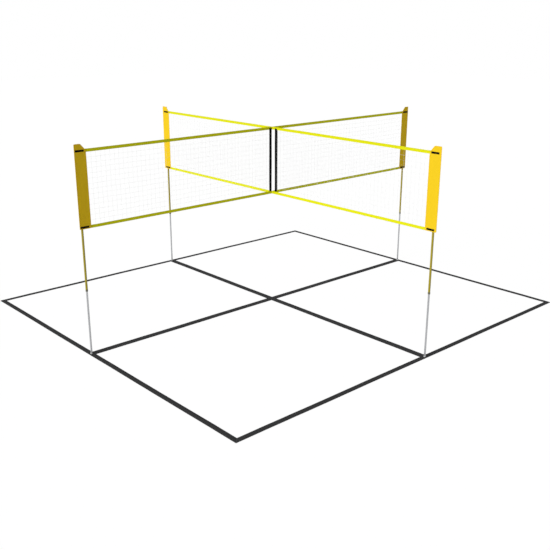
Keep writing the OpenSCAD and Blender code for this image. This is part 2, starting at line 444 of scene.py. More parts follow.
class Shader:
    """Builds the node tree of a material or a world."""

    def __init__(self, owner: bpy.types.Material | bpy.types.World) -> None:
        """Turns the owner's nodes on."""
        owner.use_nodes = True
        self.tree = owner.node_tree
        self.surface = self.tree.nodes.get("Principled BSDF")

    def node(self, kind: str, values: dict | None = None, output: str | int = 0, **settings: Any) -> Signal:
        """Any node.

        Args:
            kind: its type, after ShaderNode.
            values: the numbers, colours and signals of its sockets, by name or number.
            output: the output that is wanted, by name or number.
            settings: its settings by name, which are set first.

        Returns:
            That output.
        """
        made = self.tree.nodes.new("ShaderNode" + kind)
        for key, value in settings.items():
            setattr(made, key, value)
        for key, value in (values or {}).items():
            self.feed(made.inputs[key], value)
        return Signal(self, made.outputs[output])

    def feed(self, socket: bpy.types.NodeSocket, value: Any) -> None:
        """Links a signal to a socket, or sets its value.

        Args:
            socket: the input.
            value: a signal, a number or a colour.
        """
        if isinstance(value, Signal):
            self.tree.links.new(value.socket, socket)
        elif socket.type == "RGBA":
            socket.default_value = (*value, 1.0)
        else:
            socket.default_value = value

    def maths(self, operation: str, *terms: Any) -> Signal:
        """A Math node of numbers and signals."""
        return self.node("Math", dict(enumerate(terms)), operation=operation)

    def place(self) -> tuple[Signal, Signal, Signal, Signal]:
        """The Object coordinates: X, Y, Z and the whole vector."""
        where = self.node("TexCoord", output="Object")
        x = self.node("SeparateXYZ", {0: where})
        return x, x.output(1), x.output(2), where

    def noise(self, where: Signal, scale: float, detail: float = 3.0, roughness: float = 0.5) -> Signal:
        """Smooth noise from 0 to 1 at a scale per metre."""
        values = {"Vector": where, "Scale": scale, "Detail": detail, "Roughness": roughness}
        return self.node("TexNoise", values)

    def streaks(self, *scaled: Signal, detail: float = 3.0, roughness: float = 0.5) -> Signal:
        """Noise that is drawn out, on X, Y and Z that are already scaled."""
        return self.noise(self.node("CombineXYZ", dict(enumerate(scaled))), 1.0, detail, roughness)

    def mix(self, share: Signal, first: Any, second: Any) -> Signal:
        """A colour between two colours."""
        return self.node("Mix", {0: share, 6: first, 7: second}, 2, data_type="RGBA")

    def relief(self, height: Signal, depth: float = 1.0) -> None:
        """Bumps the surface by a height, in which 1 stands for this depth in metres."""
        self.set(Normal=self.node("Bump", {"Distance": depth, "Height": height}))

    def set(self, **values: Any) -> None:
        """Sets or links the Principled node's sockets, with underscores for spaces."""
        for key, value in values.items():
            self.feed(self.surface.inputs[key.replace("_", " ")], value)


def linear(red: int, green: int, blue: int) -> Colour:
    """A colour's linear values from its 0 to 255 display values."""
    return tuple(
        share / 12.92 if share <= 0.04045 else ((share + 0.055) / 1.055) ** 2.4
        for share in (red / 255, green / 255, blue / 255)
    )


def shade(colour: Colour, factor: float) -> Colour:
    """A colour made lighter or darker by a factor."""
    return tuple(min(1.0, part * factor) for part in colour)


@dataclass(frozen=True)
class Finish:
    """A surface finish. Each kind adds its own nodes, in a dark, a light and a worn tone of the colour."""

    name: str
    colour: Colour
    tones = (1.0, 1.0, 1.0)

    def build(self, shader: Shader) -> None:
        """Adds the finish's nodes to a shader."""
        raise NotImplementedError

    def tint(self, shader: Shader, pattern: Signal, wear: Signal) -> Signal:
        """From the dark to the light tone by a pattern, and from there to the worn one by the wear."""
        dark, light, worn = (shade(self.colour, tone) for tone in self.tones)
        return shader.mix(wear, shader.mix(pattern, dark, light), worn)

    def dress(self, item: Item) -> None:
        """Gives an object this finish alone, built at its first use.

        Args:
            item: the object.
        """
        label = f"{self.name}_finish"
        material = bpy.data.materials.get(label)
        if material is None:
            material = bpy.data.materials.new(label)
            self.build(Shader(material))
        item.data.materials.clear()
        item.data.materials.append(material)


@dataclass(frozen=True)
class Cloth(Finish):
    """Coated woven cloth: plain weave, soft creases and dust."""

    tones = (0.955, 1.03, 0.86)
    thread: float = 0.0009
    roughness: float = 0.62
    crease: float = 0.0004

    def build(self, shader: Shader) -> None:
        """A plain weave along the net and up, with creases.

        Args:
            shader: the material's nodes.
        """
        x, y, z, where = shader.place()
        warp, weft = (x + y).ripple(2 * self.thread), z.ripple(2 * self.thread)
        over = warp * weft + (1 - warp) * (1 - weft)
        folds = shader.noise(where, 7.0, 4.0, 0.55)
        grain = shader.noise(where, 900.0, 2.0)
        dust = shader.noise(where, 18.0, 5.0, 0.6).step(0.5, 0.78)
        shader.set(
            Base_Color=self.tint(shader, over * 0.55 + grain * 0.25, dust * 0.16),
            Roughness=self.roughness + 0.12 * dust - 0.06 * over, Specular_IOR_Level=0.1,
        )
        shader.relief(over * (0.2 * self.thread) + folds * self.crease)


@dataclass(frozen=True)
class Webbing(Finish):
    """Woven strap: herringbone ribs across its width."""

    tones = (0.72, 1.18, 1.35)
    along: Along
    rib: float = 0.0022
    chevron: float = 0.0155

    def build(self, shader: Shader) -> None:
        """Chevrons along the strap, fuzzed yarn and wear.

        Args:
            shader: the material's nodes.
        """
        x, y, z, where = shader.place()
        ways = {Along.X: (x, y), Along.Y: (y, x), Along.NET: (x + y, z), Along.UP: (z, x + y)}
        length, across = ways[self.along]
        zigzag = abs((across * (pi / self.chevron)).sine())
        ribs = (length + zigzag * (0.9 * self.rib)).ripple(self.rib)
        weave = ribs * 0.7 + across.ripple(self.rib * 0.8) * 0.3
        fuzz = shader.noise(where, 1400.0, 2.0)
        worn = shader.noise(where, 9.0, 5.0, 0.62).step(0.42, 0.72)
        shader.set(
            Base_Color=self.tint(shader, weave * 0.6 + fuzz * 0.3, worn * 0.4),
            Roughness=0.82 + 0.1 * worn, Specular_IOR_Level=0.05,
        )
        shader.relief(weave * 0.00035 + fuzz * 0.00008)


@dataclass(frozen=True)
class Twine(Finish):
    """Twisted cord or thread, with lay as the length of a turn."""

    tones = (0.9, 1.0, 0.7)
    lay: float = 0.0012

    def build(self, shader: Shader) -> None:
        """Slanted strands and a little dust.

        Args:
            shader: the material's nodes.
        """
        x, y, z, where = shader.place()
        strands = (x + y + z).ripple(self.lay) * 0.6 + (x - y - z).ripple(self.lay * 0.5) * 0.4
        dust = shader.noise(where, 30.0).step(0.45, 0.8)
        shader.set(
            Base_Color=self.tint(shader, strands, dust * 0.08),
            Roughness=0.55 + 0.15 * dust, Specular_IOR_Level=0.3,
        )
        shader.relief(strands, 0.0002)


@dataclass(frozen=True)
class Paint(Finish):
    """Powder coat on a tube: fine orange peel, and rubbed bands where it is handled."""

    tones = (0.92, 1.07, 0.62)
    bottom: float = 0.8

    def build(self, shader: Shader) -> None:
        """Peel, faint scuffs along the tube and a duller grip at its lower end.

        Args:
            shader: the material's nodes.
        """
        x, y, z, where = shader.place()
        peel = shader.noise(where, 1100.0, 2.0, 0.4)
        drawn = shader.streaks(x * 260, y * 260, z * 5)
        scuff = shader.streaks(x * 90, y * 90, z * 14, detail=4.0, roughness=0.6).step(0.62, 0.76)
        grip = 1 - z.step(self.bottom, self.bottom + 0.16)
        shader.set(
            Base_Color=self.tint(shader, drawn * 0.6 + peel * 0.2, scuff * (0.22 + 0.4 * grip)),
            Roughness=0.34 + 0.12 * scuff + 0.1 * grip + 0.05 * peel,
            Specular_IOR_Level=0.4, Coat_Weight=0.12 * (1 - grip) + 0.02, Coat_Roughness=0.2,
        )
        shader.relief(peel * 0.00005 + drawn * 0.00004)


@dataclass(frozen=True)
class Drawn(Finish):
    """Drawn aluminium tube: fine lines along it, and rings where the lock has bitten."""

    tones = (0.84, 1.14, 0.72)
    grip: float = 0.79

    def build(self, shader: Shader) -> None:
        """Draw lines, oxide bloom and slide marks.

        Args:
            shader: the material's nodes.
        """
        x, y, z, where = shader.place()
        lines = shader.streaks(x * 900, y * 900, z * 2.5, roughness=0.6)
        bloom = shader.noise(where, 22.0, 5.0, 0.6).step(0.45, 0.75)
        slide = z.step(self.grip - 0.46, self.grip - 0.38)
        rings = z.ripple(0.012) ** 6 * shader.noise(where, 60.0, 2.0).step(0.45, 0.6) * slide
        shader.set(
            Base_Color=self.tint(shader, lines.step(0.25, 0.75), bloom * 0.35 + rings * 0.45),
            Metallic=0.9 - 0.1 * bloom, Roughness=0.33 + 0.14 * bloom + 0.08 * lines,
        )
        shader.relief(lines * 0.00004 + (1 - rings) * 0.00003)


@dataclass(frozen=True)
class Moulded(Finish):
    """Moulded plastic or rubber: spark-eroded grain, and dust in it."""

    tones = (0.85, 1.1, 1.5)
    roughness: float = 0.55

    def build(self, shader: Shader) -> None:
        """Fine grain with pale dust.

        Args:
            shader: the material's nodes.
        """
        x, y, z, where = shader.place()
        pits = shader.noise(where, 2200.0, 2.0, 0.6)
        flow = shader.streaks(x * 60, y * 60, z * 20)
        dust = shader.noise(where, 45.0, 5.0, 0.65).step(0.5, 0.8)
        shader.set(
            Base_Color=self.tint(shader, pits * 0.4 + flow * 0.4, dust * 0.25),
            Roughness=self.roughness + 0.15 * dust + 0.08 * pits, Specular_IOR_Level=0.35,
        )
        shader.relief(pits, 0.00006)


LEMON, GOLD, POLE_GOLD = linear(226, 226, 10), linear(240, 201, 28), linear(162, 146, 12)
COURT_GREY, BLACK = linear(65, 65, 66), linear(8, 8, 9)

COURT = {way: Webbing(f"court_webbing_{way.name.lower()}", COURT_GREY, way) for way in (Along.X, Along.Y)}
STRAP = Webbing("strap_webbing", BLACK, Along.NET, rib=0.0016, chevron=0.0055)
BAND = Webbing("band_webbing", BLACK, Along.UP, rib=0.0018, chevron=0.0084)
TAPE = Cloth("tape_cloth", LEMON, thread=0.0011, roughness=0.55, crease=0.0003)
PANEL = Cloth("panel_cloth", GOLD, crease=0.0016)
BINDING = Cloth("panel_binding", shade(GOLD, 0.98), thread=0.0007, roughness=0.58, crease=0.0002)
CORD = Twine("mesh_cord", linear(250, 250, 250), lay=0.004)
COURT_THREAD = Twine("court_thread", linear(104, 104, 106))
TAPE_THREAD = Twine("tape_thread", shade(LEMON, 0.92))
PANEL_THREAD = Twine("panel_thread", shade(GOLD, 0.88))
STRAP_THREAD = Twine("strap_thread", linear(24, 24, 25))
UPPER_TUBE = Paint("painted_tube", POLE_GOLD)
LOWER_TUBE = Drawn("bare_tube", linear(178, 179, 181))
LOCK = Moulded("lock_plastic", linear(112, 110, 92))
FOOT = Moulded("foot_rubber", linear(196, 198, 198), roughness=0.7)
CAP = Moulded("cap_plastic", linear(30, 30, 30))


@dataclass(frozen=True)
class Stitches:
    """A row of stitches: one is modelled and then repeated."""

    pitch: float
    length: float
    width: float
    taper: float = 0.45

    def row(self, start: Spot, end: Spot, up: Spot, across: bool = False) -> Piece:
        """One row of stitches on a surface.

        Args:
            start: where the row begins.
            end: where it ends.
            up: the surface's normal.
            across: whether each stitch lies across the row, as over a joint.

        Returns:
            The row as one mesh.
        """
        start, end, up = Vector(start), Vector(end), Vector(up)
        way, half = (end - start).normalized(), self.length / 2
        stitch = Piece.rod("stitches", (-half, 0, 0), (half, 0, 0), self.width / 2)
        with stitch.edit():
            for tip in (-1, 1):
                stitch.pick("FACE", lambda face, tip=tip: face.normal.x * tip > 0.9)
                resize((1, self.taper, self.taper), (tip * half, 0, 0))
        side = up.cross(way)
        lie, over = (side, -way) if across else (way, side)
        stitch.set_down(Matrix((lie, over, up)).transposed().to_4x4())
        count = max(1, round((end - start).length / self.pitch))
        step = (end - start) / count
        return stitch.repeat(count, step).set_down(Matrix.Translation(start + step / 2))

    def path(self, points: Sequence[Spot], y: float, way: int, closed: bool = False) -> list[Piece]:
        """Rows from point to point, on a face that looks along Y.

        Args:
            points: the X and Z of each point.
            y: the face's Y.
            way: -1 or 1, the way that the face looks.
            closed: whether the last point joins the first.

        Returns:
            The rows.
        """
        ends = [(x, y, z) for x, z in points]
        return [self.row(a, b, (0, way, 0)) for a, b in zip(ends, ends[1:] + ends[:closed])]

    def box_cross(self, low: Spot, high: Spot, y: float, way: int) -> list[Piece]:
        """A box with a cross in it, between its lowest and highest X and Z, on such a face."""
        box = [low, (high[0], low[1]), high, (low[0], high[1])]
        rows = self.path(box, y, way, closed=True)
        return rows + self.path(box[::2], y, way) + self.path(box[1::2], y, way)


@dataclass
class CourtLine:
    """A strip of webbing on the ground, in a node's place: a side line, or one that crosses the court."""

    node: str
    along: Along
    selvedge: float = 0.0008
    bend: float = 0.0008
    drift: float = 0.0012
    cuts: int = 60
    still: float = 0.1
    ease: float = 0.3

    def __post_init__(self) -> None:
        """Reads the strip's place, and the numbers of the axes along and across it."""
        self.low, self.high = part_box(self.node)
        self.axis, self.side = self.along.value, 1 - self.along.value

    def mitre(self, strip: Piece) -> None:
        """Cuts both ends at 45 degrees, through the outer corners.

        Args:
            strip: the whole strip.
        """
        outer, inward = (self.low, 1) if self.low[self.side] < 0 else (self.high, -1)
        for corner, way in ((self.low, -1), (self.high, 1)):
            point, outward = Vector(), Vector()
            point[self.axis], point[self.side] = corner[self.axis], outer[self.side]
            outward[self.axis], outward[self.side] = way, inward
            strip.trim(point, outward)

    def lie(self, at: Vector) -> Vector:
        """The bend at one place, which is none by the strip's ends and by the crossing.

        Args:
            at: the place of the vertex.

        Returns:
            How far the strip is moved there.
        """
        run = at[self.axis]
        free = min(run - self.low[self.axis], self.high[self.axis] - run, abs(run))
        calm = clamp((free - self.still) / self.ease)
        waves = (0.5 + 0.5 * sin(17.0 * run)) * (0.5 + 0.5 * sin(5.3 * run + 1))
        move = Vector((0, 0, self.bend * calm * waves))
        move[self.side] = self.drift * calm * sin(3.1 * run + 0.7)
        return move

    def build(self) -> Item:
        """The strip."""
        strip = Piece.block(f"webbing_{self.node}", self.low, self.high)
        if self.node.startswith("court_line"):
            self.mitre(strip)
        strip.divide((X, Y)[self.axis], self.cuts, least=1.0).round_off(self.selvedge)
        strip.shape(self.lie).smooth()
        return strip.hand_over("court", COURT[self.along], "court_webbing", self.node)


@dataclass
class Court:
    """The webbing on the ground: four side lines and the lines that cross."""

    zigzag: Stitches = Stitches(pitch=0.0035, length=0.009, width=0.0011)

    def joints(self) -> Item:
        """The stitching over every joint of the webbing."""
        south, east, north, west = (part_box(end.node("court_line")) for end in End)
        top, half = south[1].z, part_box("cross_line_through")[1].x
        sides = ((west[0].x, west[1].x), (east[1].x, east[0].x))
        fronts = ((south[0].y, south[1].y), (north[1].y, north[0].y))
        lines = [((x, y), (x_in, y_in)) for x, x_in in sides for y, y_in in fronts]
        lines += [((-half, y), (half, y)) for _, y in fronts]
        lines += [((x, -half), (x, half)) for x in (west[1].x, -half, half, east[0].x)]
        rows = [self.zigzag.row((*start, top), (*end, top), Z, across=True) for start, end in lines]
        return Piece.join("webbing_stitches", *rows).hand_over("court", COURT_THREAD, "court_webbing")

    def build(self) -> Iterator[Item]:
        """All the webbing on the ground."""
        for node, along in (
            ("court_line_south", Along.X), ("court_line_east", Along.Y),
            ("court_line_north", Along.X), ("court_line_west", Along.Y),
            ("cross_line_through", Along.Y), ("cross_line_east", Along.X), ("cross_line_west", Along.X),
        ):
            yield CourtLine(node, along).build()
        yield self.joints()


@dataclass
class Tape:
    """A folded tape with a cord in its fold: the through tape, or a wing that is sewn to it."""

    level: Level
    name: str
    end: End
    bead: float = 0.003
    cloth: float = 0.0024
    neck: float = 0.0022
    cuts: int = 90
    seam: float = 0.004
    joint: float = 0.0004
    step_back: float = 0.0047
    slot_clear: float = 0.002
    stitches: Stitches = Stitches(pitch=0.008, length=0.0056, width=0.0009)

    def __post_init__(self) -> None:
        """Reads the tape's place in the pole's frame, and where it runs on behind a panel."""
        level, self.up = self.level.name.lower(), self.level.value
        self.node, self.tag = f"{level}_tape_{self.name}", f"{level}_{self.name}"
        low, high = self.end.box(self.node)
        self.start, self.stop = low.x, high.x
        self.front, self.height = (low.y + high.y) / 2, high.z - low.z
        self.fold, self.edge = (high.z, low.z) if self.up > 0 else (low.z, high.z)
        self.tails = {1: self.tail(self.end)}
        if self.name == "through":
            self.tails[-1] = self.tail(End.SOUTH)
        else:
            self.start = sum(corner.x for corner in self.end.box("top_tape_through")) / 2 + self.joint

    def tail(self, end: End) -> float:
        """How far the tape runs on behind a panel: nearly to the slot of the panel's straps."""
        straps, panel = end.box(end.node("panel_straps")), end.box(end.node("side_panel"))
        return straps[0].x - panel[0].x - self.slot_clear

    def section(self) -> Piece:
        """The tape's flat section: a round bead, a neck under it and flat cloth."""
        middle = self.fold - self.up * self.bead
        neck = middle - self.up * (self.bead + self.neck)
        flat = Piece.start(
            bpy.ops.mesh.primitive_circle_add, f"tape_{self.tag}", vertices=16, radius=self.bead,
            fill_type="NGON", location=(self.start, self.front, middle), rotation=(pi / 2, 0, pi / 2),
        )
        below = -0.6 * self.bead
        with flat.edit():
            flat.pick("EDGE", lambda edge: all((v.co.z - middle) * self.up < below for v in edge.verts))
            push((0, 0, -self.up * self.neck))
            resize((1, 0.56 * self.cloth / self.bead, 0.15), (self.start, self.front, neck))
            push((0, 0, self.edge - neck))
        return flat

    def bend(self, at: Vector) -> Vector:
        """The tape's ripples, growing to its free edge, and its step back behind each panel.

        Args:
            at: the place of the vertex.

        Returns:
            How far the tape is moved there.
        """
        length = self.stop - self.start
        along = clamp((at.x - self.start) / length)
        free = (self.fold - at.z) * self.up / self.height
        calm = clamp(12 * along * (1 - along))
        sway = 0.0006 * calm * free * sin(41.0 * at.x) + 0.0004 * calm * sin(9.0 * at.x + 0.4)
        ramp = length / (self.cuts + 1)
        tips = {1: self.stop, -1: self.start}
        tucked = sum(clamp(1 - way * (tips[way] - at.x) / ramp) for way in self.tails)
        return Vector((0, sway + self.step_back * tucked, 0))

    def strip(self) -> Piece:
        """The tape itself, in the pole's frame."""
        tape = self.section()
        with tape.edit():
            push((self.stop - self.start, 0, 0))
        tape.divide(X, self.cuts, least=1.0).face_outward()
        with tape.edit():
            for way, tail in self.tails.items():
                tape.pick("FACE", lambda face, way=way: face.normal.x * way > 0.9)
                push((way * tail, 0, 0))
        return tape.shape(self.bend).smooth(0.9)

    def seams(self) -> Piece:
        """A row of stitches by the cord and by the free edge, on both faces."""
        rows = []
        for z in (self.fold - self.up * (2 * self.bead + self.neck), self.edge + self.up * self.seam):
            ends = [(x, z) for x in (self.start + self.seam, self.stop - self.seam)]
            for way in (-1, 1):
                rows += self.stitches.path(ends, self.front + way * self.cloth / 2, way)
        return Piece.join(f"tape_stitches_{self.tag}", *rows).shape(self.bend)

    def build(self) -> Iterator[Item]:
        """The tape and its stitching, in place."""
        for piece, finish, node in ((self.strip(), TAPE, self.node), (self.seams(), TAPE_THREAD, None)):
            yield piece.set_down(self.end.place()).hand_over("net", finish, "tape_cloth", node)


@dataclass
class NetWing:
    """The knotted mesh and the black band in one arm of the nets."""

    end: End
    square: float = 0.0591
    cord: float = 0.0005
    knot: float = 0.0012
    cuts_in_square: int = 2
    most_cuts: int = 99
    into_tape: float = 0.002
    into_band: float = 0.001
    into_panel: float = 0.004
    belly: float = 0.006
    tape: float = 0.0024
    lap: float = 0.0185
    lap_under: float = 0.008
    lap_thick: float = 0.001
    margin: float = 0.004
    foot_row: float = 0.005
    side_row: tuple[float, float] = (0.003, 0.009)
    selvedge: float = 0.0004
    stitches: Stitches = Stitches(pitch=0.006, length=0.0042, width=0.0009)

    def __post_init__(self) -> None:
        """Reads the places of the mesh and the band in the pole's frame, and a phase for the waves."""
        self.mesh, self.strap = (self.end.box(self.end.node(part)) for part in ("net_mesh", "centre_band"))
        self.phase = self.end.value[1][0] + 2 * self.end.value[1][1]

    def cords(self) -> Piece:
        """The mesh as crossing cords with a knot at every crossing."""
        low, high = self.mesh
        middle = (low.y + high.y) / 2
        columns, rows = (round((high[axis] - low[axis]) / self.square) for axis in (0, 2))
        across, rise = (high.x - low.x) / columns, (high.z - low.z) / rows
        first = low.z + rise
        ends = [(low.x, middle, z) for z in (low.z - self.into_tape, high.z + self.into_tape)]
        upright = Piece.rod("upright", *ends, self.cord)
        upright.divide(Z, rows * self.cuts_in_square - 1, least=0.1).repeat(columns + 1, (across, 0, 0))
        ends = [(x, middle, first) for x in (low.x - self.into_band, high.x + self.into_panel)]
        level, cuts = Piece.rod("level", *ends, self.cord), columns * self.cuts_in_square - 1
        level.divide(X, min(self.most_cuts, cuts), least=0.1).repeat(rows - 1, (0, 0, rise))
        knot = Piece.start(
            bpy.ops.mesh.primitive_uv_sphere_add, "knot", (1.25, 0.8, 0.9), segments=8, ring_count=5,
            radius=self.knot, location=(low.x + across, middle, first), rotation=(0, pi / 4, 0),
        )
        knot.repeat(columns - 1, (across, 0, 0)).repeat(rows - 1, (0, 0, rise))
        return Piece.join(self.end.node("mesh"), upright, level, knot).shape(self.slack).smooth(1.2)

    def slack(self, at: Vector) -> Vector:
        """How far the mesh hangs from flat at one place; nothing along its four edges.

        Args:
            at: the place of the vertex.

        Returns:
            How far the mesh is moved there.
        """
        low, high = self.mesh
        along, up = (clamp((at[axis] - low[axis]) / (high[axis] - low[axis])) for axis in (0, 2))
        free = sin(pi * along) ** 0.7 * sin(pi * up)
        waves = sin(4.1 * at.x + self.phase) + 0.5 * sin(9.7 * at.x + 5.0 * at.z + 2 * self.phase)
        drop = -0.004 - 0.002 * sin(6.3 * at.x + 3.0 * at.z)
        side = 0.002 * sin(11.0 * at.z + 4.0 * at.x)
        return Vector((side, self.belly * waves, drop)) * free

    def band(self) -> list[Piece]:
        """The black webbing that closes the mesh and laps the top tape, and its stitching."""
        low, high = self.strap
        inset, foot, path = self.margin, self.foot_row, self.stitches.path
        pieces, rows = [Piece.block("strip", low, high).divide(Z, 40, least=0.5)], []
        for way, side in ((-1, low.y), (1, high.y)):
            faces = [(low.y + high.y) / 2 + way * (self.tape / 2 + depth) for depth in (0, self.lap_thick)]
            pieces.append(Piece.block(
                "lap",
                (low.x, min(faces), high.z - self.lap_under), (high.x, max(faces), high.z + self.lap),
            ))
            patch = (low.x + inset, high.z - inset), (high.x - inset, high.z + self.lap - inset)
            rows += self.stitches.box_cross(*patch, faces[1], way)
            for x in (low.x + inset, high.x - inset):
                rows += path([(x, low.z + self.side_row[0]), (x, high.z - self.side_row[1])], side, way)
            rows += path([(x, low.z + foot) for x in (low.x + foot, high.x - foot)], side, way)
        band = Piece.join(self.end.node("band"), *pieces).round_off(self.selvedge).smooth()
        seams = Piece.join(self.end.node("band_stitches"), *rows)
        return [piece.shape(self.hang) for piece in (band, seams)]

    def hang(self, at: Vector) -> Vector:
        """A slight curl along the band's length.

        Args:
            at: the place of the vertex.

        Returns:
            How far the band is moved there.
        """
        low, high = self.strap
        up = min(1.0, (at.z - low.z) / (high.z - self.lap_under - low.z))
        return Vector((0, 0.0015 * sin(pi * up) * sin(5 * up + self.end.value[1][0]), 0))

    def build(self) -> Iterator[Item]:
        """The mesh and the band of this wing, in place."""
        mesh = self.cords()
        band, stitching = self.band()
        for piece, finish, slot, node in (
            (mesh, CORD, "mesh_cord", self.end.node("net_mesh")),
            (band, BAND, "band_webbing", self.end.node("centre_band")),
            (stitching, STRAP_THREAD, "band_webbing", None),
        ):
            yield piece.set_down(self.end.place()).hand_over("net", finish, slot, node)


@dataclass
class Sleeve:
    """Cloth or webbing drawn round the pole from the sheet: a bent strip given thickness."""

    radius: float
    left: float
    right: float
    sheet: float
    thick: float
    low: float
    high: float
    sides: int = 48
    gap: float = 0.02
    fold: float = 0.0008

    def touch(self, x: float) -> float:
        """The angle at which a line from the sheet at x touches the circle, behind the pole."""
        reach = acos(self.radius / hypot(x, self.sheet))
        return atan2(self.sheet, x) + (reach if x > 0 else 2 * pi - reach)

    def open_up(self, circle: Piece) -> list[Vector]:
        """Leaves the part of a circle in edit mode that is behind the pole.

        Args:
            circle: the circle.

        Returns:
            The two tips, from right to left.
        """
        first, last = self.touch(self.right), self.touch(self.left)

        def angle(vertex: Any) -> float:
            """A vertex's angle round the pole, from 0 to a full turn."""
            return atan2(vertex.co.y, vertex.co.x) % (2 * pi)

        circle.pick("VERT", lambda v: not first + self.gap < angle(v) < last - self.gap)
        bpy.ops.mesh.delete(type="VERT")
        arc = sorted(bmesh.from_edit_mesh(circle.item.data).verts, key=angle)
        return [arc[0].co.copy(), arc[-1].co.copy()]

    def strip(self, flange: float = 0.0, closed: bool = False, roof: bool = False, cuts: int = 0) -> Piece:
        """The strip.

        Args:
            flange: how far it lies on along the sheet past its corners.
            closed: whether it runs across the sheet too, as a strap does.
            roof: whether its top is closed.
            cuts: the number of cuts in its height.

        Returns:
            The strip, with its thickness on the outside.
        """
        strip = Piece.start(
            bpy.ops.mesh.primitive_circle_add, "sleeve",
            vertices=self.sides, radius=self.radius, location=(0, 0, self.low),
        )
        ends = []
        with strip.edit():
            for tip, way, spot in zip(self.open_up(strip), (1, -1), (self.right, self.left)):
                turn = self.touch(spot)
                goals = [
                    Vector((self.radius * cos(turn), self.radius * sin(turn), self.low)),
                    Vector((spot, self.sheet, self.low)),
                ]
                if flange:
                    goals.append(goals[-1] + Vector((way * flange, 0, 0)))
                for goal in goals:
                    strip.pick("VERT", lambda v, tip=tip: (v.co - tip).length < NEAR)
                    push(goal - tip)
                    tip = goal
                ends.append(tip)
            if closed:
                strip.pick("VERT", lambda v: min((v.co - tip).length for tip in ends) < NEAR)
                bpy.ops.mesh.edge_face_add()
            strip.pick("EDGE")
            push((0, 0, self.high - self.low))
            if roof:
                strip.pick("VERT", self.in_roof)
                bpy.ops.mesh.edge_face_add()
        strip.face_outward()
        if self.outside_in(strip):
            strip.item.data.flip_normals()
        if not roof:
            with strip.edit():
                upright = runs(Z)
                strip.pick("EDGE", lambda edge: upright(edge) and self.at_fold(edge.verts[0].co))
                bpy.ops.mesh.bevel(offset=self.fold, segments=3, affect="EDGES")
        if cuts:
            strip.divide(Z, cuts, least=0.1)
        return strip.modify("SOLIDIFY", thickness=self.thick, offset=1.0, use_even_offset=True)

    def in_roof(self, vertex: Any) -> bool:
        """Whether a vertex is on the top edge, between the folds."""
        return vertex.co.z > self.high - NEAR and self.left - 1e-4 < vertex.co.x < self.right + 1e-4

    def at_fold(self, at: Vector) -> bool:
        """Whether a place is on a fold, where the strip leaves the sheet."""
        return abs(at.y - self.sheet) < 1e-5 and min(abs(at.x - self.left), abs(at.x - self.right)) < 1e-5

    def outside_in(self, strip: Piece) -> bool:
        """Whether the strip's faces look in at the pole."""
        faces = strip.item.data.polygons
        return max(faces, key=lambda face: face.center.y if abs(face.normal.z) < 0.5 else -1).normal.y < 0


